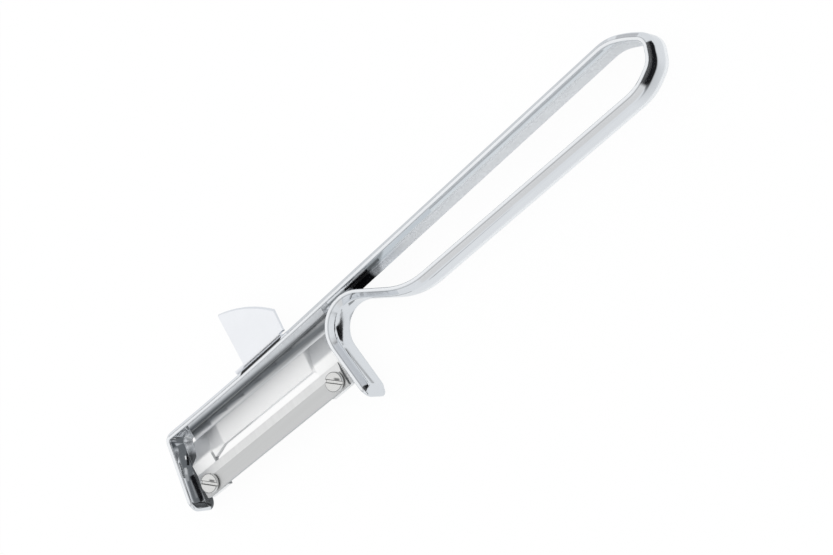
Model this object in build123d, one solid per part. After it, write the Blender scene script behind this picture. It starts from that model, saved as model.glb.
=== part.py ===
"""Vegetable peeler: one bent channel strip carries a screwed-on blade and an eye remover.

Drawing frame, in millimetres: X runs along the handle from the blade end to the
closed nose, Y points out of the loop towards the eye remover, Z runs across the
strip. The drawing starts at the front corner; the finished part is centred in X
and Y and lies on one long rim, at Z = 0.
"""
import math
import os

from build123d import *

# Pressed strip: one channel section, its flanges splayed into the loop
strip_width = 11.0
strip_sheet = 1.0
strip_depth = 2.3         # back of the web to the rims
web_width = 5.6           # flat between the fold lines
strip_fold_radius = 0.8   # inside each fold
flange_turn = 35.0        # degrees, web to flange

# Route of the strip, as the corners of its outer face
front_leg_length = 21.45
front_leg_lean = 12.9     # degrees
front_corner_radius = 2.9
dish_drop = 0.7           # of the spine above the blade's middle
dish_bent_share = 0.84     # of the spine between the front corner and the dish
spine_rise = 1.403        # degrees, from the dish to the shoulder of the nose
shoulder_radius = 12.0
brow_reach = 4.7          # brow to the outermost corner
brow_rise = 3.8
brow_radius = 20.0
nose_reach = 9.9          # shoulder to the outermost corner
nose_radius = 4.2
nose_face_reach = 3.15    # outermost corner back to the lower corner
nose_face_height = 6.85
nose_lower_radius = 7.0
handle_height = 14.04     # dish to the lower strip, back to back
chin_reach = 7.0
chin_rise = 3.69
chin_radius = 15.0
lower_strip_length = 77.7
notch_blend_radius = 20.0
notch_slope = 34.0        # degrees, lower strip up to the crest of the finger notch
notch_reach = 24.16
notch_radius = 7.1
notch_clearance = 3.96    # blade's end to the crest of the notch
rear_leg_lean = 3.65      # degrees
rear_leg_drop = 13.0      # end of the rear leg below the lower strip
tip_corner_radius = 0.4   # of the fold line round the cupped end of each leg

# Blade carrier: a pressed sheet welded under the spine
carrier_sheet = 1.5
carrier_tilt = -1.3       # degrees
carrier_back = 1.5        # its rear face above the lower rims
carrier_flange_width = 5.0
carrier_fold_radius = 1.5
carrier_fold_stub = 2.6
carrier_left_inset = 2.0   # wall, inside the blade's left end
carrier_right_reach = 4.3  # wall, beyond the blade's right end
carrier_flange_inset = 5.0
carrier_height = 15.0     # at the right end
carrier_step_rise = 1.7   # of the slanted shoulder above the left lug
crease_height = 12.3      # above the blade's middle line
lug_bend_height = 6.4
lug_bend_radius = 1.0
lug_face = 6.0            # height of the faces that carry the blade
left_lug_margin = 0.1     # beyond the blade's left end
right_lug_margin = 0.5    # beyond its right end
lug_width = 7.1
lug_foot_margin = 0.12    # below the blade
lug_corner_radius = 0.8
left_ramp_length = 3.3    # lug to guide plate
right_ramp_length = 2.0
ramp_foot = 2.0           # ramp's lower edge at the lug, below the guide's edge
guide_lower_edge = 6.3    # above the blade's middle line
guide_lean = 10.0         # degrees

# Blade
blade_length = 51.6
blade_width = 6.7
blade_thickness = 1.0
blade_bevel = 2.5
blade_edge = 0.12         # flat left at the cutting edge
blade_seat_gap = 0.03     # under the blade and under the screw heads
blade_travel = 0.4        # each way, when the screws are loose
blade_front_gap = 1.0     # front corner to the blade's left end
blade_drop = 17.2         # front corner to the blade's middle line

# Slotted screws
screw_inset = 2.9         # from each end of the blade
screw_drop = 0.7          # below the blade's middle line
screw_thread = 3.0
screw_fit = 0.05          # radial clearance in the carrier
screw_blade_clearance = 0.1
screw_length = 3.2
screw_head = 5.2
screw_head_height = 1.2
screw_head_round = 0.35
screw_slot_width = 0.8
screw_slot_depth = 0.7
screw_slot_turn = -42.0   # degrees
screw_tip_chamfer = 0.4

# Eye remover: a bent leaf welded on the back of the spine
remover_sheet = 1.0
remover_fold_radius = 0.7
remover_face = 8.3        # height of the leaf's front face
remover_foot_edge = 2.9
remover_start = 0.6       # dish to the left end of the foot
remover_heel = 3.3        # foot beyond the leaf's left edge
remover_heel_height = 0.9
remover_foot_inset = 1.5  # foot's right end, inside the leaf
remover_leaf = 14.7       # width at its root
remover_lean = 1.0        # of the left edge, root to tip
remover_flare = 0.7       # of the right edge
remover_tip_height = 16.0  # above the front corner
remover_arc_reach = 7.5   # middle of the arc, from the leaf's left edge
remover_arc_height = 13.3
remover_low_height = 6.9
remover_bevel_width = 0.9
remover_bevel_depth = 0.5

beyond = 5.0              # extra length of trimming tools

half_sheet = strip_sheet / 2
middle = strip_width / 2
front_corner = Vector(0, 0)


def run(length, degrees):
    """Step of the given length and direction in the drawing plane."""
    return Vector(length * math.cos(math.radians(degrees)), length * math.sin(math.radians(degrees)))


def sheet_face(points, sheet, radii, round_ends=False):
    """Section of a bent sheet along its middle line."""
    line = FilletPolyline(*points, radius=radii)
    face = trace(line, line_width=sheet)
    if round_ends:
        for end in (line @ 0, line @ 1):
            face += Pos(end.X, end.Y) * Circle(sheet / 2)
    return face.face()


def plate(points, low, high):
    """Flat plate in the drawing plane between two heights."""
    return extrude(Pos(0, 0, low) * make_face(Polyline(*points, close=True)), amount=high - low)


# Channel strip
rim = (middle - half_sheet, strip_depth - half_sheet)
channel_radius = strip_fold_radius + half_sheet
fold = web_width / 2 + channel_radius * math.tan(math.radians(flange_turn / 2))
channel_points = [(-rim[0], rim[1]), (-fold, half_sheet), (fold, half_sheet), rim]
channel = sheet_face(channel_points, strip_sheet, channel_radius, round_ends=True)

blade_middle = front_corner + Vector(blade_front_gap + blade_length / 2, -blade_drop)
dish = Vector(blade_middle.X, front_corner.Y - dish_drop)
dish_fall = math.atan2(dish_drop, dish.X)
dish_turn = dish_fall + math.radians(spine_rise)
dish_radius = dish_bent_share * dish.X / math.cos(dish_fall) / math.tan(dish_turn / 2)
lower_level = dish.Y - handle_height
crest_place = blade_middle.X + blade_length / 2 + notch_clearance
notch_foot = Vector(crest_place + notch_reach, lower_level)
notch_crest = Vector(crest_place, lower_level + notch_reach * math.tan(math.radians(notch_slope)))
chin = notch_foot + Vector(lower_strip_length, 0)
nose_low = chin + Vector(chin_reach, chin_rise)
nose = nose_low + Vector(nose_face_reach, nose_face_height)
brow = nose + Vector(-brow_reach, brow_rise)
shoulder_place = nose.X - nose_reach
shoulder = Vector(shoulder_place, dish.Y + (shoulder_place - dish.X) * math.tan(math.radians(spine_rise)))
front_down = run(1, -90 - front_leg_lean)
rear_down = run(1, -90 + rear_leg_lean)
tip_start = web_width / 2 - tip_corner_radius
tip_reach = middle - tip_start
front_end = front_corner + front_down * (front_leg_length - tip_reach)
rear_leg_length = (notch_crest.Y - lower_level + rear_leg_drop) / math.cos(math.radians(rear_leg_lean))
rear_end = notch_crest + rear_down * (rear_leg_length - tip_reach)

route = FilletPolyline(
    front_end, front_corner, dish, shoulder, brow, nose, nose_low, chin, notch_foot, notch_crest, rear_end,
    radius=[front_corner_radius, dish_radius, shoulder_radius, brow_radius, nose_radius, nose_lower_radius,
            chin_radius, notch_blend_radius, notch_radius])
route = Pos(0, 0, middle) * route


def across(place, along):
    """Plane square to the strip: its x runs across the strip, its y into the loop."""
    return Plane(origin=(place.X, place.Y, middle), x_dir=(0, 0, 1), z_dir=(along.X, along.Y, 0))


def cupped_end():
    """Closed end of a leg, pointing up its own z: the lip of the channel turned round two corners."""
    outer_side = Pos(tip_start + middle, 0) * Rectangle(middle * 2, middle * 2)
    lip = (channel & outer_side).face()
    turn = Axis((tip_start, 0, 0), (0, -1, 0))
    corner = revolve(lip, axis=turn, revolution_arc=90)
    stretch = extrude(lip.rotate(turn, 90), amount=tip_start * 2, dir=(-1, 0, 0))
    return corner + stretch + mirror(corner, about=Plane.YZ)


front_frame = across(front_end, front_down * -1)
rear_frame = across(rear_end, rear_down)
tip = cupped_end()
strip = sweep(front_frame * channel, path=route)
strip = strip + front_frame * mirror(tip, about=Plane.XY) + rear_frame * tip


def spine_band(section, first, last):
    """Sheet that follows the dished spine between two distances from the front corner."""
    line = FilletPolyline(front_corner, dish, shoulder, radius=dish_radius)
    line = Pos(0, 0, middle) * line
    frame = across(front_corner, dish - front_corner)
    whole = sweep(frame * section, path=line)
    tall = shoulder.X
    return whole & plate([(first, -tall), (last, -tall), (last, tall), (first, tall)], -beyond, strip_width + beyond)


# Blade carrier, drawn round the blade's middle
seat = Pos(blade_middle.X, blade_middle.Y, 0) * Rot(0, 0, carrier_tilt)
half_length = blade_length / 2
carrier_left = half_length - carrier_left_inset
carrier_right = half_length + carrier_right_reach
carrier_flange_left = half_length - carrier_flange_inset
left_lug_outer = half_length + left_lug_margin
left_lug_inner = left_lug_outer - lug_width
right_lug_outer = half_length + right_lug_margin
right_lug_inner = right_lug_outer - lug_width
guide_left = left_lug_inner - left_ramp_length
guide_right = right_lug_inner - right_ramp_length
half_carrier = carrier_sheet / 2
carrier_front = carrier_back + carrier_sheet
flange_reach = carrier_front + carrier_flange_width - carrier_fold_radius
wall = carrier_back + half_carrier - middle
flange_depth = strip_sheet + half_carrier
fold_depth = strip_sheet + carrier_sheet + carrier_fold_radius + carrier_fold_stub
carrier_section = sheet_face(
    [(flange_reach - middle, flange_depth), (wall, flange_depth), (wall, fold_depth)],
    carrier_sheet, carrier_fold_radius + half_carrier)
carrier_fold = spine_band(
    carrier_section, blade_middle.X - carrier_left - beyond, blade_middle.X + carrier_right)
reach = carrier_right + beyond
above_crease = seat * plate(
    [(-reach, crease_height), (reach, crease_height), (reach, reach), (-reach, reach)],
    -beyond, strip_width + beyond)
flange_slant = seat * Rot(90, 0, 0) * plate(
    [(-carrier_flange_left, flange_reach), (reach, flange_reach + beyond), (reach, -beyond),
     (-carrier_left - beyond, -beyond), (-carrier_left, carrier_back)],
    -reach, reach)
carrier_fold = carrier_fold & above_crease & flange_slant

lug_bend_step = lug_bend_height - guide_lower_edge
lug_lean = math.degrees(math.atan((lug_face - carrier_front) / (crease_height - lug_bend_height)))


def leaning(lean, low):
    """Corners of the sheet below the crease, leaning forward down to a level edge."""
    slope = math.tan(math.radians(lean))
    thick = carrier_sheet / math.cos(math.radians(lean))
    mitre = crease_height - carrier_sheet * math.tan(math.radians(lean / 2))
    front = carrier_front + (crease_height - low) * slope
    return [(crease_height, carrier_front), (crease_height, carrier_back), (mitre, carrier_back),
            (low, front - thick), (low, front)]


def upright(corners, place):
    """Section square to the blade, at a distance along it."""
    face = make_face(Polyline(*corners, close=True))
    return Plane(origin=(place, 0, 0), x_dir=(0, 1, 0), z_dir=(1, 0, 0)) * face


def ramp_end(lean, low, foot):
    """The same sheet, with a foot that goes on straight down below its edge."""
    crease_front, crease_back, mitre_back, low_back, low_front = leaning(lean, low)
    return [crease_front, crease_back, mitre_back, low_back, (low - foot, low_back[1]),
            (low - foot, low_front[1]), low_front]


guide_face = leaning(guide_lean, guide_lower_edge)
ramp_top = ramp_end(guide_lean, guide_lower_edge + lug_bend_step, lug_bend_step)
ramp_low = ramp_end(lug_lean, lug_bend_height, lug_bend_step + ramp_foot)
guide = extrude(upright(guide_face, -guide_left), amount=guide_left + guide_right)
left_ramp = loft([upright(ramp_low, -left_lug_inner), upright(ramp_top, -guide_left)], ruled=True)
right_ramp = loft([upright(ramp_top, guide_right), upright(ramp_low, right_lug_inner)], ruled=True)

lug_middle = lug_face - half_carrier
lug_foot = -blade_width / 2 - lug_foot_margin
lug_line = [(crease_height, carrier_back + half_carrier), (lug_bend_height, lug_middle), (lug_foot, lug_middle)]
lug_sheet = trace(FilletPolyline(*lug_line, radius=lug_bend_radius + half_carrier), line_width=carrier_sheet)
lug_top = make_face(Polyline(*leaning(lug_lean, (crease_height + lug_bend_height) / 2), close=True))
lug_sheet = (lug_sheet + lug_top).face()
lug_sheet = (lug_sheet & Pos(lug_foot + crease_height / 2 - lug_foot / 2, 0)
             * Rectangle(crease_height - lug_foot, strip_width * 2)).face()
left_lug_plane = Plane(origin=(-left_lug_outer, 0, 0), x_dir=(0, 1, 0), z_dir=(1, 0, 0))
left_lug = extrude(left_lug_plane * lug_sheet, amount=lug_width)
right_lug_plane = Plane(origin=(right_lug_inner, 0, 0), x_dir=(0, 1, 0), z_dir=(1, 0, 0))
right_lug = extrude(right_lug_plane * lug_sheet, amount=carrier_right - right_lug_inner)
below = guide + left_ramp + right_ramp + left_lug + right_lug

outline = make_face(Polyline(
    (-left_lug_outer, lug_foot), (-left_lug_outer, lug_bend_height),
    (-carrier_left, lug_bend_height + carrier_step_rise),
    (-carrier_left, reach), (carrier_right, reach), (carrier_right, carrier_height),
    (right_lug_outer, lug_bend_height), (right_lug_outer, lug_foot), close=True))
corners = outline.vertices().sort_by(Axis.Y)[:2]
outline = fillet(corners, lug_corner_radius)
below = below & extrude(outline, amount=strip_width)

screw_places = [screw_inset - half_length, half_length - screw_inset]
lug_holes = [Pos(place, -screw_drop, 0) * Cylinder(screw_thread / 2 + screw_fit, strip_width * 2)
             for place in screw_places]
carrier = seat * (below - lug_holes) + carrier_fold

# Blade with a cross slot under each screw
blade_low = lug_face + blade_seat_gap
blade_high = blade_low + blade_thickness
half_blade = blade_width / 2
blade_face = [(-half_blade, blade_low), (half_blade, blade_low), (half_blade, blade_low + blade_edge),
              (half_blade - blade_bevel, blade_high), (-half_blade, blade_high)]
blade = extrude(upright(blade_face, -blade_length / 2), amount=blade_length)
slot_radius = screw_thread / 2 + screw_blade_clearance
slot_tool = Rot(0, 0, 90) * extrude(SlotCenterToCenter(blade_travel * 2, slot_radius * 2), amount=strip_width)
blade = seat * (blade - [Pos(place, -screw_drop, 0) * slot_tool for place in screw_places])

# Screws
screw_seat = blade_high + blade_seat_gap
head_outline = [(0, screw_seat - screw_length), (screw_thread / 2 - screw_tip_chamfer, screw_seat - screw_length),
                (screw_thread / 2, screw_seat - screw_length + screw_tip_chamfer),
                (screw_thread / 2, screw_seat), (screw_head / 2, screw_seat),
                (screw_head / 2, screw_seat + screw_head_height), (0, screw_seat + screw_head_height)]
screw = revolve(Plane.XZ * make_face(Polyline(*head_outline, close=True)), axis=Axis.Z)
rim_edge = screw.edges().filter_by(GeomType.CIRCLE).sort_by(Axis.Z)[-1]
screw = fillet(rim_edge, screw_head_round)
head_top = screw_seat + screw_head_height
cut = Pos(0, 0, head_top) * Box(screw_head * 2, screw_slot_width, screw_slot_depth * 2)
screw = screw - Rot(0, 0, screw_slot_turn - carrier_tilt) * cut
left_screw = seat * Pos(screw_places[0], -screw_drop, 0) * screw
right_screw = seat * Pos(screw_places[1], -screw_drop, 0) * screw

# Eye remover
half_remover = remover_sheet / 2
leaf_place = remover_face - half_remover - middle
tall = remover_tip_height + beyond
remover_section = sheet_face(
    [(remover_foot_edge - middle, -half_remover), (leaf_place, -half_remover), (leaf_place, -tall)],
    remover_sheet, remover_fold_radius + half_remover)
heel_left = dish.X + remover_start
leaf_left = heel_left + remover_heel
leaf_right = leaf_left + remover_leaf
tip_left = (leaf_left + remover_lean, remover_tip_height)
tip_right = (leaf_right + remover_flare, remover_low_height)
arc = ThreePointArc(tip_right, (leaf_left + remover_arc_reach, remover_arc_height), tip_left)
foot_right = leaf_right - remover_foot_inset
heel_top = remover_heel_height
outline_edge = Polyline(tip_left, (leaf_left, heel_top), (heel_left, heel_top), (heel_left, -beyond),
                        (foot_right, -beyond), (foot_right, heel_top), (leaf_right, heel_top), tip_right)
remover_outline = make_face([outline_edge, arc])
remover = spine_band(remover_section, heel_left, leaf_right + beyond)
remover = remover & extrude(remover_outline, amount=strip_width)
arc_edges = [line for line in remover.edges().filter_by(GeomType.CIRCLE)
             if abs(line.radius - arc.radius) < half_sheet and (line @ 0).Z > remover_face - half_remover]
remover = chamfer(arc_edges, remover_bevel_depth, remover_bevel_width)

solids = {
    "frame_strip": strip,
    "blade_holder": carrier,
    "blade": blade,
    "left_blade_screw": left_screw,
    "right_blade_screw": right_screw,
    "eye_remover": remover,
}
whole_box = Compound(list(s.solid() for s in solids.values())).bounding_box()
centre = whole_box.center()
shift = Vector(-centre.X, -centre.Y, -whole_box.min.Z)

os.makedirs("parts", exist_ok=True)
for name, solid in solids.items():
    placed = Pos(shift.X, shift.Y, shift.Z) * solid.solid()
    placed.label = name
    export_step(placed, "parts/" + name + ".step")
    box = placed.bounding_box()
    print(name, len(solid.solids()), placed.is_valid, round(placed.volume, 1),
          [round(v, 2) for v in (*box.min, *box.max)])
print("shift", [round(v, 4) for v in shift])
for name, place in zip(("left", "right"), screw_places):
    spot = (seat * Pos(place, -screw_drop, 0)).position + shift
    print(name, "screw axis", [round(v, 4) for v in spot])
print("blade middle", [round(v, 4) for v in blade_middle + shift])
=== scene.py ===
"""Vegetable peeler of bent chromed strip, with a steel blade, laid on a pale table."""
import math

import bmesh
import bpy
from mathutils import Matrix, Vector

MM = 0.001

# Camera, in the part's frame, in millimetres and degrees; FOCAL_PIXELS and PICTURE_WIDTH in pixels
AIM = Vector((1.3195, -4.9722, 5.5))
TOWARDS_CAMERA = Vector((0.382, -0.3096, 0.8707)).normalized()
CAMERA_DISTANCE = 590.0
CAMERA_TILT = 40.7515
FOCAL_PIXELS = 2400.0
PICTURE_WIDTH = 833.0
SENSOR_WIDTH = 36.0
CLIP_START = 10.0

# The Mix node's colour sockets by number, because its sockets for numbers bear the same names
MIX_COLOURS = (6, 7)
MIX_RESULT = 2

# Finishes. A window is (from, to, half width of its soft ends), in metres, and FAR is an end that
# lies outside every piece. A zone holds a window for each axis that limits it. The scale of a noise
# is per metre, and the distance of a bump is in metres. A clouding is (share of the tone that is
# left in the dark of the noise, value of its dark, value of its light).
FAR = 1.0
NOISE_VALUES = (0.3, 0.7)
BLACK = (0.005, 0.005, 0.006)

# Chromed strip, in the part's frame. The scuffed levels add to the roughness of the web, and the
# polished levels take from it. The frost rises along its levels. Shade is painted into the plating as
# a thin line at the rim, a grey wedge on the spine, also limited by X - Z, and black in its hollow.
CHROME_TONE = (0.84, 0.855, 0.875)
CHROME_CLOUD = {"scale": 90.0, "detail": 4.0}
CHROME_CLOUDING = (0.97, 0.35, 0.65)
CHROME_HAZE = {"scale": 260.0, "detail": 6.0}
HAZE_SHARES = (0.7, 1.4)
CHROME_RIPPLE = {"scale": 160.0, "detail": 2.0}
RIPPLE_BUMP = {"strength": 0.05, "distance": 0.0004}
WEB_ROUGHNESS = 0.08
SCUFFED_LEVELS = (-FAR, 0.003, 0.0005)
SCUFFED_ROUGHNESS = 0.2
POLISHED_LEVELS = (0.008, FAR, 0.0005)
POLISH = 0.03
FROST_LEVELS = (0.0098, 0.011)
FROST_SHARE = 0.22
# Painted shade: a thin darker line at these heights, under the rim's highlight
RIM_SHADE_LEVELS = (0.01055, 0.0108, 0.0001)
RIM_SHADE_SHARE = 0.32
SATIN_WEB = {"X": (0.0, FAR, 0.003), "Z": (-FAR, 0.0042, 0.0005)}
SATIN_SHARE = 0.9
SATIN_TONE = (0.935, 0.95, 0.965)
# Painted shade: black in the spine's hollow, standing in for a dark reflection
SPINE_HOLLOW_SHADE = {"X": (-0.0168, -0.0098, 0.0008),
                "Y": (0.0036, 0.0056, 0.0001),
                "Z": (-FAR, 0.0046, 0.0004)}
# Painted shade: a grey wedge on the spine's inside, kept over the satin web too
SPINE_WEDGE_SHADE = {"Y": (0.0036, 0.0056, 0.0001), "Z": (-FAR, 0.0076, 0.0003)}
WEDGE_SHADE_SLANT = (-0.02, -0.0087, 0.0009)
WEDGE_SHADE_TONE = (0.37, 0.38, 0.39)

# Shaded foot of the front leg, in the leg's frame
FRONT_LEG_MIDDLE = (-0.0829, -0.003, 0.0)
FRONT_LEG_TILT = math.radians(-11.3)
FRONT_LEG_FOOT = {"X": (0.0, 0.008, 0.0001),
                  "Y": (-FAR, 0.0035, 0.0008),
                  "Z": (-FAR, 0.0027, 0.0002)}
FRONT_LEG_SHADE = (0.16, 0.165, 0.17)

# Blade, in its own frame
BLADE_MIDDLE = (-0.0548805, -0.0112722, 0.0)
BLADE_TILT = math.radians(-1.3)
BAR_TONE = (0.6, 0.605, 0.605)
BEVEL_TONE = (0.88, 0.88, 0.875)
BLADE_GRAIN = {"scale": 300.0, "detail": 5.0, "stretch": (0.06, 3.0, 3.0), "turn": BLADE_TILT}
BEVEL_SCORING = {"scale": 420.0, "detail": 3.0, "stretch": (2.4, 0.1, 1.0), "turn": BLADE_TILT}
BLADE_CLOUDING = (0.95, 0.3, 0.7)
BLADE_ROUGHNESS = (0.34, 0.42)
GRAIN_BUMP = {"strength": 0.06, "distance": 0.0002}
BEVEL = (0.00085, FAR, 0.00006)
CUT_END = (0.02576, FAR, 0.00001)
CUT_END_SHADE = (0.16, 0.165, 0.17)

# Holder, in the blade's frame. Shade is painted in the fold between its start and its end, less along
# a painted lighter line, and along the left lug's inner side.
# The matte plate and lugs are less of a metal, and the sheet is rougher below the crease.
SHEET_TONE = (0.84, 0.845, 0.85)
MATTE_TONE = (0.96, 0.96, 0.955)
FOLD_SHADE = (0.17, 0.18, 0.19)
SHEET_CLOUD = {"scale": 120.0, "detail": 4.0}
SHEET_CLOUDING = (0.96, 0.35, 0.65)
GUIDE_PLATE = {"X": (-0.0155, 0.0172, 0.0004), "Y": (0.006, 0.0122, 0.0001)}
LUGS = (-FAR, 0.0066, 0.0005)
MATTE_METAL_LOSS = 0.6
FOLD_START = (0.0131, FAR, 0.0008)
FOLD_END = (0.015, FAR, 0.0007)
# Painted highlight: a lighter line across the painted fold shade
FOLD_LIGHT_LINE_LEVELS = (0.0053, 0.0059, 0.0002)
FOLD_LIGHT_LINE_SHARE = 0.4
# Painted shade along the left lug's inner side
LUG_SHADE_BAND = {"X": (-0.01915, -0.0185, 0.00012), "Y": (-FAR, 0.0062, 0.0006)}
LUG_SHADE_BAND_SHARE = 0.75
BELOW_CREASE = (-FAR, 0.0123, 0.0002)
FOLD_ROUGHNESS = 0.3
ROUGHER_BELOW_CREASE = 0.25

# Screws, each in its own frame with X along the slot. Their dark marks are painted shade: the slot
# walls, a spot beside the slot, a thin ring and one side of the turned-down edge. The edge shade has a
# window of headings in radians about the axis. Each share says how dark the painted shade before it is.
SCREW_AXES = {"left_blade_screw": (-0.0777905, -0.0114525, 0.0),
              "right_blade_screw": (-0.0320023, -0.0124916, 0.0)}
SLOT_TURN = math.radians(-42.0)
HEAD_RADIUS = 0.0026
NICKEL_TONE = (0.74, 0.74, 0.73)
# Tone of the painted shade on the screw heads
SCREW_SHADE_TONE = (0.06, 0.06, 0.06)
SLOT_WALL_SHADES = ((-0.00048, -0.00033, 0.00003), (0.00031, 0.00053, 0.00003))
SLOT_REACH = (-FAR, HEAD_RADIUS * 0.97, 0.00004)
SLOT_SHADE_SPOT = {"X": (0.0002, 0.0018, 0.0004), "Y": (0.00055, 0.00105, 0.0003)}
SLOT_SHADE_SPOT_SHARE = 0.95
HEAD_SHADE_RING = (HEAD_RADIUS * 0.9, HEAD_RADIUS * 0.965, 0.00003)
HEAD_SHADE_RING_SHARE = 0.6
HEAD_EDGE_SHADE = (HEAD_RADIUS * 0.88, FAR, 0.0001)
EDGE_SHADE_HEADINGS = (-0.5, 1.45, 0.4)
EDGE_SHADE_LEVELS = (-FAR, 0.0075, 0.0001)
HEAD_EDGE_SHADE_SHARE = 0.9
TURNING_SCALE = 6000.0
TURNING_CLOUDING = (0.88, 0.35, 0.6)
TURNING_BUMP = {"strength": 0.3, "distance": 0.00006}
NICKEL_ROUGHNESS = 0.24

# Eye remover, in its own frame, and black shade painted on the strip behind it, which lies on the
# flange's outer skin: OUTER_SKIN is a window along the line that stands on that skin, turned up from Y.
REMOVER_MIDDLE = (-0.045, 0.00575, 0.0)
REMOVER_TILT = math.radians(1.403)
LEAF_TONE = (0.88, 0.895, 0.925)
# Painted shade: black on the leaf where it bends away from the strip
BEND_SHADE_TONE = (0.02, 0.02, 0.02)
LEAF_CLOUD = {"scale": 200.0, "detail": 5.0}
LEAF_CLOUDING = (0.97, 0.3, 0.7)
LEAF_ROUGHNESS = (0.28, 0.36)
LEAF_BEND_SHADE = (-FAR, 0.0001, 0.00012)
SHADE_BEHIND_REMOVER = {"X": (-0.0071, 0.0079, 0.0003),
                  "Y": (-0.0017, 0.0005, 0.00015),
                  "Z": (0.0083, 0.012, 0.0001)}
FLANGE_TURN = math.radians(35.0)
OUTER_SKIN = (0.0042, FAR, 0.0002)

# World. A sky has stops of (sine of the elevation, tone), and the front sky has a window of
# headings in radians. A flag is (window of headings, window of sines, tone).
WORLD_LEVEL = 1.0
BACK_SKY = [(0.0, (0.97, 0.98, 0.99)), (1.0, (1.0, 1.0, 1.0))]
FRONT_SKY = [(0.0, (0.775, 0.795, 0.81)), (0.5, (0.87, 0.89, 0.91)), (0.85, (1.0, 1.0, 1.0))]
FRONT_HEADINGS = (-9.0, 0.0, 0.15)
FLAGS = [((-2.3, -1.3, 0.05), (-0.2, 0.11, 0.03), (0.74, 0.74, 0.74)),
         ((-1.36, 0.22, 0.06), (-0.4, 0.17, 0.05), (0.01, 0.01, 0.012)),
         ((0.2, 0.65, 0.06), (-0.2, 0.3, 0.05), (0.58, 0.6, 0.63)),
         ((2.03, 2.1, 0.02), (-0.2, 0.45, 0.1), (0.08, 0.085, 0.09))]

# Floor, in metres
FLOOR_HALF_SIDE = 1.5
FLOOR_LEVEL = -0.0002
FLOOR_ROUGHNESS = 0.9
FLOOR_TONE = (0.94, 0.94, 0.94)
FLOOR_SHEEN = (0.81, 0.83, 0.85)
FLOOR_WHITE_SHARE = 0.95
FLOOR_SHEEN_SHARE = 0.99

# Cards on the floor, as (centre, half sides, turn, tone) in millimetres and degrees. A later card
# lies on an earlier one, and all lie on NOSE_SHADE, which is (corner, reach, turn, soft end).
# CARD_EDGE is the soft end of a card as a share of its shorter half side.
SPINE_GREY = (0.74, 0.78, 0.805)
DIM_GREY = (0.2, 0.215, 0.225)
FLOOR_CARDS = [
    ((15.0, 19.5), (60.0, 3.5), 1.4, (0.68, 0.7, 0.72)),
    ((85.0, 27.0), (6.0, 3.0), 10.0, (0.55, 0.56, 0.58)),
    ((-68.0, -9.5), (6.0, 3.5), 0.0, (0.15, 0.16, 0.17)),
    ((33.0, 4.0), (43.0, 1.8), 1.2, SPINE_GREY),
    ((33.0, 3.62), (43.0, 0.36), 1.45, (0.42, 0.44, 0.46)),
    ((0.0, 3.5), (12.0, 1.2), 1.2, (0.62, 0.665, 0.7)),
    ((-16.5, 3.35), (9.5, 0.5), 1.4, DIM_GREY),
    ((-15.5, 3.35), (4.2, 0.45), 1.4, BLACK),
    ((-14.0, 2.2), (3.2, 0.24), 1.4, BLACK),
    ((-20.6, -1.2), (0.5, 1.2), -20.0, (0.3, 0.31, 0.32)),
    ((-20.3, -10.5), (0.3, 6.0), 0.0, (0.45, 0.46, 0.47)),
    ((-13.0, -8.5), (7.0, 1.3), -38.0, BLACK),
    ((12.0, -26.0), (14.0, 4.0), -33.0, (0.45, 0.46, 0.47)),
    ((-19.2, -4.5), (0.75, 0.7), 0.0, BLACK),
    ((-79.7, -4.5), (1.9, 8.2), -11.3, (0.14, 0.15, 0.16)),
    ((-78.6, -4.9), (0.5, 1.6), 0.0, (0.34, 0.35, 0.36)),
    ((-81.1, -4.9), (0.35, 0.6), 0.0, (0.42, 0.43, 0.44)),
    ((-80.2, -8.7), (0.3, 2.5), -12.0, (0.26, 0.27, 0.28)),
    ((-79.75, -0.6), (0.4, 1.8), 8.0, BLACK),
    ((-81.3, -8.7), (0.8, 3.7), -17.0, BLACK),
    ((-77.3, -3.4), (0.2, 2.2), -11.7, BLACK),
    ((-78.5, -3.8), (0.35, 0.9), 0.0, (0.6, 0.61, 0.62)),
    ((-79.1, -0.3), (0.2, 0.5), 0.0, (0.9, 0.9, 0.9)),
]
CARD_EDGE = 0.15
NOSE_SHADE = ((76.1, -14.8), 700.0, 12.0, 8.0)

# Lamps, as (name, place, side, power) in metres and watts
LAMPS = [("softbox", (-0.35, 0.35, 0.9), 0.6, 1.2)]


def place_camera():
    """Camera that looks at the aim, turned about its line of sight by the tilt."""
    level = Vector((1, 0, 0)) - TOWARDS_CAMERA * TOWARDS_CAMERA.x
    level.normalize()
    upright = TOWARDS_CAMERA.cross(level)
    tilt = math.radians(CAMERA_TILT)
    right = level * math.cos(tilt) - upright * math.sin(tilt)
    up = level * math.sin(tilt) + upright * math.cos(tilt)
    data = bpy.data.cameras.new("camera")
    data.sensor_width = SENSOR_WIDTH
    data.lens = FOCAL_PIXELS / PICTURE_WIDTH * SENSOR_WIDTH
    data.clip_start = CLIP_START * MM
    camera = bpy.data.objects.new("camera", data)
    bpy.context.scene.collection.objects.link(camera)
    turn = Matrix((right, up, TOWARDS_CAMERA)).transposed().to_4x4()
    spot = (AIM + TOWARDS_CAMERA * CAMERA_DISTANCE) * MM
    camera.matrix_world = Matrix.Translation(spot) @ turn
    bpy.context.scene.camera = camera


def new_material(name):
    """A material with its node tree and its shader."""
    material = bpy.data.materials.new(name)
    material.use_nodes = True
    tree = material.node_tree
    return material, tree, tree.nodes["Principled BSDF"]


def put(tree, value, socket):
    """A number or a tone is set on the socket, and another socket is linked to it."""
    if isinstance(value, tuple):
        socket.default_value = (*value, 1)
    elif isinstance(value, float):
        socket.default_value = value
    else:
        tree.links.new(value, socket)


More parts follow.
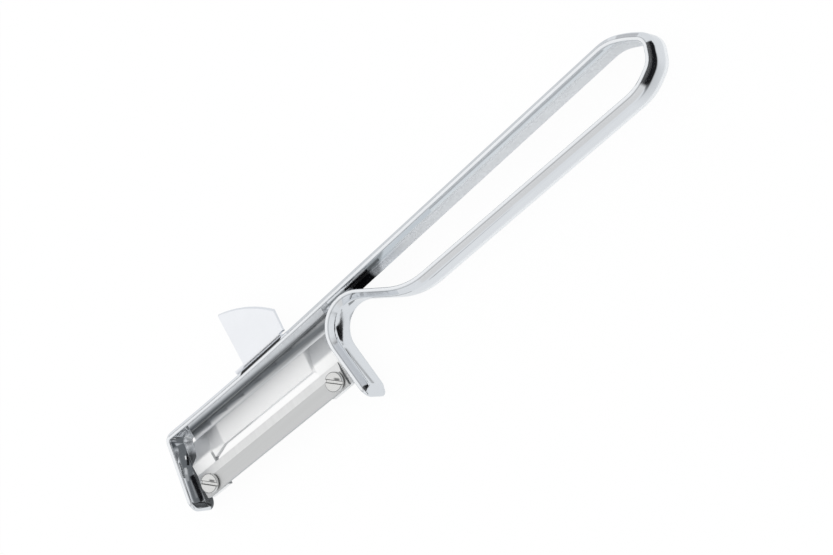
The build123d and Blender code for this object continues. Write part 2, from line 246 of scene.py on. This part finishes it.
def combined(tree, operation, *values):
    """The values, joined one after another by one Math operation."""
    result = values[0]
    for value in values[1:]:
        node = tree.nodes.new("ShaderNodeMath")
        node.operation = operation
        put(tree, result, node.inputs[0])
        put(tree, value, node.inputs[1])
        result = node.outputs["Value"]
    return result


def mixed(tree, share, first, second):
    """Blend of two colours, each a socket or a plain tone."""
    node = tree.nodes.new("ShaderNodeMix")
    node.data_type = "RGBA"
    put(tree, share, node.inputs["Factor"])
    for number, colour in zip(MIX_COLOURS, (first, second)):
        put(tree, colour, node.inputs[number])
    return node.outputs[MIX_RESULT]


def carried(tree, value, source, target, interpolation="LINEAR"):
    """The value, carried from one pair of ends to another and held there outside them."""
    node = tree.nodes.new("ShaderNodeMapRange")
    node.interpolation_type = interpolation
    for name, end in zip(("From Min", "From Max", "To Min", "To Max"), (*source, *target)):
        node.inputs[name].default_value = end
    tree.links.new(value, node.inputs["Value"])
    return node.outputs["Result"]


def window(tree, value, low, high, soft):
    """1 between low and high, falling to 0 over a soft end on both sides."""
    rise = carried(tree, value, (low - soft, low + soft), (0.0, 1.0), "SMOOTHSTEP")
    fall = carried(tree, value, (high - soft, high + soft), (1.0, 0.0), "SMOOTHSTEP")
    return combined(tree, "MULTIPLY", rise, fall)


def zone(tree, place, windows):
    """1 where the place lies in the windows of all the axes that are named."""
    covers = [window(tree, place[axis], *ends) for axis, ends in windows.items()]
    return combined(tree, "MULTIPLY", *covers)


def local_place(tree, middle, turn, scale=(1, 1, 1)):
    """X, Y and Z of Object coordinates, seen from a middle and turned about the upright axis."""
    place = tree.nodes.new("ShaderNodeTexCoord")
    mapping = tree.nodes.new("ShaderNodeMapping")
    mapping.vector_type = "TEXTURE"
    mapping.inputs["Location"].default_value = middle
    mapping.inputs["Rotation"].default_value = (0, 0, turn)
    mapping.inputs["Scale"].default_value = scale
    parts = tree.nodes.new("ShaderNodeSeparateXYZ")
    tree.links.new(place.outputs["Object"], mapping.inputs["Vector"])
    tree.links.new(mapping.outputs["Vector"], parts.inputs["Vector"])
    return parts.outputs


def object_noise(tree, scale, detail, stretch=(1, 1, 1), turn=0.0):
    """Noise on Object coordinates, drawn out along an axis by a small stretch there."""
    place = tree.nodes.new("ShaderNodeTexCoord")
    mapping = tree.nodes.new("ShaderNodeMapping")
    mapping.inputs["Scale"].default_value = stretch
    mapping.inputs["Rotation"].default_value = (0, 0, turn)
    noise = tree.nodes.new("ShaderNodeTexNoise")
    noise.inputs["Scale"].default_value = scale
    noise.inputs["Detail"].default_value = detail
    tree.links.new(place.outputs["Object"], mapping.inputs["Vector"])
    tree.links.new(mapping.outputs["Vector"], noise.inputs["Vector"])
    return noise.outputs["Fac"]


def ramp(tree, value, stops):
    """The tones of the stops, blended between them."""
    node = tree.nodes.new("ShaderNodeValToRGB")
    band = node.color_ramp
    while len(band.elements) < len(stops):
        band.elements.new(0.5)
    for element, (at, tone) in zip(band.elements, stops):
        element.position = at
        element.color = (*tone, 1)
    tree.links.new(value, node.inputs["Fac"])
    return node.outputs["Color"]


def clouded(tree, noise, tone, share, dark, light):
    """The tone, brought down to a share of itself in the dark of the noise."""
    return ramp(tree, noise, [(dark, [part * share for part in tone]), (light, tone)])


def bump(tree, height, shader, strength, distance):
    """Small relief under the shader."""
    node = tree.nodes.new("ShaderNodeBump")
    node.inputs["Strength"].default_value = strength
    node.inputs["Distance"].default_value = distance
    tree.links.new(height, node.inputs["Height"])
    tree.links.new(node.outputs["Normal"], shader.inputs["Normal"])


def polished_chrome(name):
    """Bright plating, well polished along the top and scuffed towards the table."""
    material, tree, shader = new_material(name)
    strip = local_place(tree, (0.0, 0.0, 0.0), 0.0)
    leg = local_place(tree, FRONT_LEG_MIDDLE, FRONT_LEG_TILT)
    remover = local_place(tree, REMOVER_MIDDLE, REMOVER_TILT)

    # Painted shade: a thin line under the rim's highlight
    line = combined(tree, "MULTIPLY", window(tree, strip["Z"], *RIM_SHADE_LEVELS), RIM_SHADE_SHARE)
    slant = combined(tree, "SUBTRACT", strip["X"], strip["Z"])
    # Painted grey shade in a wedge on the spine
    wedge_shade = combined(tree, "MULTIPLY", window(tree, slant, *WEDGE_SHADE_SLANT), zone(tree, strip, SPINE_WEDGE_SHADE))
    skin = combined(tree, "ADD",
                    combined(tree, "MULTIPLY", remover["Y"], math.cos(FLANGE_TURN)),
                    combined(tree, "MULTIPLY", remover["Z"], math.sin(FLANGE_TURN)))
    # Painted black shade on the strip behind the eye remover, made matte and rough there
    remover_shade = combined(tree, "MULTIPLY", zone(tree, remover, SHADE_BEHIND_REMOVER), window(tree, skin, *OUTER_SKIN))
    satin = combined(tree, "MULTIPLY", zone(tree, strip, SATIN_WEB), SATIN_SHARE)

    # Painted shade over the plating's tone: the rim line, the front leg's foot, the wedge, the hollow and
    # behind the eye remover
    colour = clouded(tree, object_noise(tree, **CHROME_CLOUD), CHROME_TONE, *CHROME_CLOUDING)
    for cover, tone in ((line, BLACK),
                        (zone(tree, leg, FRONT_LEG_FOOT), FRONT_LEG_SHADE),
                        (wedge_shade, WEDGE_SHADE_TONE),
                        (zone(tree, strip, SPINE_HOLLOW_SHADE), BLACK),
                        (remover_shade, BLACK),
                        (satin, mixed(tree, wedge_shade, SATIN_TONE, WEDGE_SHADE_TONE))):
        colour = mixed(tree, cover, colour, tone)
    put(tree, colour, shader.inputs["Base Color"])

    frost = carried(tree, strip["Z"], FROST_LEVELS, (0.0, FROST_SHARE))
    matte = combined(tree, "MAXIMUM", satin, frost, remover_shade)
    put(tree, combined(tree, "SUBTRACT", 1.0, matte), shader.inputs["Metallic"])

    scuffed = window(tree, strip["Z"], *SCUFFED_LEVELS)
    polished = window(tree, strip["Z"], *POLISHED_LEVELS)
    level = combined(tree, "ADD",
                     combined(tree, "MULTIPLY", scuffed, SCUFFED_ROUGHNESS),
                     combined(tree, "MULTIPLY", polished, -POLISH),
                     WEB_ROUGHNESS)
    haze = carried(tree, object_noise(tree, **CHROME_HAZE), NOISE_VALUES, HAZE_SHARES)
    rough = combined(tree, "MAXIMUM", combined(tree, "MULTIPLY", haze, level), remover_shade)
    put(tree, rough, shader.inputs["Roughness"])
    bump(tree, object_noise(tree, **CHROME_RIPPLE), shader, **RIPPLE_BUMP)
    return material


def ground_blade(name):
    """Brushed bar whose ground bevel is brighter and scored across, with one dark cut end."""
    material, tree, shader = new_material(name)
    shader.inputs["Metallic"].default_value = 1.0
    grain = object_noise(tree, **BLADE_GRAIN)
    scoring = object_noise(tree, **BEVEL_SCORING)
    blade = local_place(tree, BLADE_MIDDLE, BLADE_TILT)
    face = mixed(tree, window(tree, blade["Y"], *BEVEL),
                 clouded(tree, grain, BAR_TONE, *BLADE_CLOUDING),
                 clouded(tree, scoring, BEVEL_TONE, *BLADE_CLOUDING))
    colour = mixed(tree, window(tree, blade["X"], *CUT_END), face, CUT_END_SHADE)
    put(tree, colour, shader.inputs["Base Color"])
    put(tree, carried(tree, grain, NOISE_VALUES, BLADE_ROUGHNESS), shader.inputs["Roughness"])
    bump(tree, grain, shader, **GRAIN_BUMP)
    return material


def pressed_holder(name):
    """Rolled sheet: matte guide plate and lugs, with painted shade in the fold above the crease and on the
    left lug's inner side.
    """
    material, tree, shader = new_material(name)
    place = local_place(tree, BLADE_MIDDLE, BLADE_TILT)
    matte = combined(tree, "MAXIMUM", zone(tree, place, GUIDE_PLATE), window(tree, place["Y"], *LUGS))
    fold = combined(tree, "SUBTRACT",
                    window(tree, place["Y"], *FOLD_START),
                    window(tree, place["Y"], *FOLD_END))
    # Painted lighter line across the fold shade
    light_line = combined(tree, "MULTIPLY", window(tree, place["Z"], *FOLD_LIGHT_LINE_LEVELS), FOLD_LIGHT_LINE_SHARE)
    fold = combined(tree, "MULTIPLY", fold, combined(tree, "SUBTRACT", 1.0, light_line))
    # Painted shade along the left lug's inner side
    band = combined(tree, "MULTIPLY", zone(tree, place, LUG_SHADE_BAND), LUG_SHADE_BAND_SHARE)
    colour = clouded(tree, object_noise(tree, **SHEET_CLOUD), SHEET_TONE, *SHEET_CLOUDING)
    for cover, tone in ((fold, FOLD_SHADE), (matte, MATTE_TONE), (band, FOLD_SHADE)):
        colour = mixed(tree, cover, colour, tone)
    put(tree, colour, shader.inputs["Base Color"])
    metal = combined(tree, "ADD", combined(tree, "MULTIPLY", matte, -MATTE_METAL_LOSS), 1.0)
    put(tree, metal, shader.inputs["Metallic"])
    below = window(tree, place["Y"], *BELOW_CREASE)
    rough = combined(tree, "ADD", combined(tree, "MULTIPLY", below, ROUGHER_BELOW_CREASE), FOLD_ROUGHNESS)
    put(tree, rough, shader.inputs["Roughness"])
    return material


def turned_screw(name, axis):
    """Nickelled screw with fine turning rings, and painted shade: dark slot walls with a dark spot
    beside them, a thin darker ring and a dark turned-down edge on one side."""
    material, tree, shader = new_material(name)
    shader.inputs["Metallic"].default_value = 1.0
    place = local_place(tree, axis, SLOT_TURN)
    flat = tree.nodes.new("ShaderNodeCombineXYZ")
    put(tree, place["X"], flat.inputs["X"])
    put(tree, place["Y"], flat.inputs["Y"])
    length = tree.nodes.new("ShaderNodeVectorMath")
    length.operation = "LENGTH"
    put(tree, flat.outputs["Vector"], length.inputs[0])
    radius = length.outputs["Value"]
    heading = combined(tree, "ARCTAN2", place["Y"], place["X"])

    inside = window(tree, radius, *SLOT_REACH)
    shade_marks = [combined(tree, "MULTIPLY", window(tree, place["Y"], *wall), inside) for wall in SLOT_WALL_SHADES]
    shade_marks.append(combined(tree, "MULTIPLY", zone(tree, place, SLOT_SHADE_SPOT), SLOT_SHADE_SPOT_SHARE))
    shade_marks.append(combined(tree, "MULTIPLY", window(tree, radius, *HEAD_SHADE_RING), HEAD_SHADE_RING_SHARE))
    shade_marks.append(combined(tree, "MULTIPLY",
                          window(tree, radius, *HEAD_EDGE_SHADE),
                          window(tree, heading, *EDGE_SHADE_HEADINGS),
                          window(tree, place["Z"], *EDGE_SHADE_LEVELS),
                          HEAD_EDGE_SHADE_SHARE))
    # Painted shade: slot walls, spot, ring and one side of the edge, darkened together
    dark = combined(tree, "MAXIMUM", *shade_marks)

    rings = tree.nodes.new("ShaderNodeTexNoise")
    rings.noise_dimensions = "1D"
    rings.inputs["Scale"].default_value = TURNING_SCALE
    put(tree, radius, rings.inputs["W"])
    face = clouded(tree, rings.outputs["Fac"], NICKEL_TONE, *TURNING_CLOUDING)
    put(tree, mixed(tree, dark, face, SCREW_SHADE_TONE), shader.inputs["Base Color"])
    shader.inputs["Roughness"].default_value = NICKEL_ROUGHNESS
    bump(tree, rings.outputs["Fac"], shader, **TURNING_BUMP)
    return material


def bent_leaf(name):
    """Satin leaf, with black painted shade where it bends away from the strip."""
    material, tree, shader = new_material(name)
    shader.inputs["Metallic"].default_value = 1.0
    place = local_place(tree, REMOVER_MIDDLE, REMOVER_TILT)
    # Painted black shade where the leaf bends
    bend_shade = window(tree, place["Y"], *LEAF_BEND_SHADE)
    cloud = object_noise(tree, **LEAF_CLOUD)
    leaf = clouded(tree, cloud, LEAF_TONE, *LEAF_CLOUDING)
    put(tree, mixed(tree, bend_shade, leaf, BEND_SHADE_TONE), shader.inputs["Base Color"])
    put(tree, carried(tree, cloud, NOISE_VALUES, LEAF_ROUGHNESS), shader.inputs["Roughness"])
    return material


def card(tree, centre, half_sides, turn, soft, across=(-1.0, 1.0), along=(-1.0, 1.0)):
    """Cover of a card on the floor, whose ends and soft ends are shares of its half sides."""
    middle = [value * MM for value in (*centre, 0.0)]
    scale = [value * MM for value in half_sides] + [1.0]
    place = local_place(tree, middle, math.radians(turn), scale)
    return zone(tree, place, {"X": (*across, soft[0]), "Y": (*along, soft[1])})


def floor_material():
    """Pale table: it keeps a soft shadow, and polished metal sees dark cards lying on it."""
    material, tree, shader = new_material("pale_floor")
    shader.inputs["Base Color"].default_value = (*FLOOR_TONE, 1)
    shader.inputs["Roughness"].default_value = FLOOR_ROUGHNESS
    shader.inputs["Specular IOR Level"].default_value = 0.0
    corner, reach, turn, edge = NOSE_SHADE
    fade = (edge / reach, edge / reach)
    cover = card(tree, corner, (reach, reach), turn, fade, across=(0.0, 1.0), along=(-1.0, 0.0))
    seen = mixed(tree, cover, FLOOR_SHEEN, BLACK)
    for centre, half_sides, turn, tone in FLOOR_CARDS:
        soft = [CARD_EDGE * min(half_sides) / half for half in half_sides]
        seen = mixed(tree, card(tree, centre, half_sides, turn, soft), seen, tone)
    in_metal = tree.nodes.new("ShaderNodeEmission")
    put(tree, seen, in_metal.inputs["Color"])
    white = tree.nodes.new("ShaderNodeEmission")
    light_path = tree.nodes.new("ShaderNodeLightPath")
    surface = shader.outputs["BSDF"]
    for ray, share, glow in (("Is Camera Ray", FLOOR_WHITE_SHARE, white),
                             ("Is Glossy Ray", FLOOR_SHEEN_SHARE, in_metal)):
        mix = tree.nodes.new("ShaderNodeMixShader")
        put(tree, combined(tree, "MULTIPLY", light_path.outputs[ray], share), mix.inputs[0])
        put(tree, surface, mix.inputs[1])
        put(tree, glow.outputs["Emission"], mix.inputs[2])
        surface = mix.outputs[0]
    put(tree, surface, tree.nodes["Material Output"].inputs["Surface"])
    return material


def light_world():
    """White sky, duller low down in front; polished metal also sees four darker flags."""
    world = bpy.data.worlds.new("studio")
    bpy.context.scene.world = world
    world.use_nodes = True
    tree = world.node_tree
    backdrop = tree.nodes["Background"]
    backdrop.inputs["Strength"].default_value = WORLD_LEVEL
    place = tree.nodes.new("ShaderNodeTexCoord")
    parts = tree.nodes.new("ShaderNodeSeparateXYZ")
    put(tree, place.outputs["Generated"], parts.inputs["Vector"])
    sine = parts.outputs["Z"]
    heading = combined(tree, "ARCTAN2", parts.outputs["Y"], parts.outputs["X"])
    front = window(tree, heading, *FRONT_HEADINGS)
    sky = mixed(tree, front, ramp(tree, sine, BACK_SKY), ramp(tree, sine, FRONT_SKY))
    glossy = tree.nodes.new("ShaderNodeLightPath").outputs["Is Glossy Ray"]
    for across, above, tone in FLAGS:
        flag = combined(tree, "MULTIPLY",
                        window(tree, heading, *across),
                        window(tree, sine, *above),
                        glossy)
        sky = mixed(tree, flag, sky, tone)
    put(tree, sky, backdrop.inputs["Color"])


def lay_floor():
    """Wide flat table just under the peeler."""
    mesh = bpy.data.meshes.new("floor")
    shape = bmesh.new()
    bmesh.ops.create_grid(shape, x_segments=1, y_segments=1, size=FLOOR_HALF_SIDE)
    shape.to_mesh(mesh)
    shape.free()
    floor = bpy.data.objects.new("floor", mesh)
    floor.location.z = FLOOR_LEVEL
    bpy.context.scene.collection.objects.link(floor)
    mesh.materials.append(floor_material())


def hang_lamps():
    """Area lamps that face the peeler, unseen in polished metal."""
    for name, spot, side, power in LAMPS:
        light = bpy.data.lights.new(name, "AREA")
        light.size = side
        light.energy = power
        lamp = bpy.data.objects.new(name, light)
        lamp.location = spot
        lamp.rotation_euler = Vector(spot).to_track_quat("Z", "Y").to_euler()
        lamp.visible_glossy = False
        bpy.context.scene.collection.objects.link(lamp)


def give(piece, material):
    """Puts the material in every slot of the piece."""
    for slot in piece.material_slots:
        slot.material = material


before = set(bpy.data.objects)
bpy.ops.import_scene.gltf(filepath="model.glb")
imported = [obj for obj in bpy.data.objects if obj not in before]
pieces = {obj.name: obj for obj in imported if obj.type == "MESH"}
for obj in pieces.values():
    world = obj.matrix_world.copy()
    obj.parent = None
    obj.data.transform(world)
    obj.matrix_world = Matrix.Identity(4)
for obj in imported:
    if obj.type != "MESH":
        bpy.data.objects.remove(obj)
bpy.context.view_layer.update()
bpy.context.scene.view_settings.view_transform = "Standard"

place_camera()
light_world()
lay_floor()
hang_lamps()

give(pieces["frame_strip"], polished_chrome("mirror_chrome"))
give(pieces["blade_holder"], pressed_holder("pressed_steel"))
give(pieces["blade"], ground_blade("blade_steel"))
for screw, axis in SCREW_AXES.items():
    give(pieces[screw], turned_screw(screw + "_nickel", axis))
give(pieces["eye_remover"], bent_leaf("leaf_steel"))
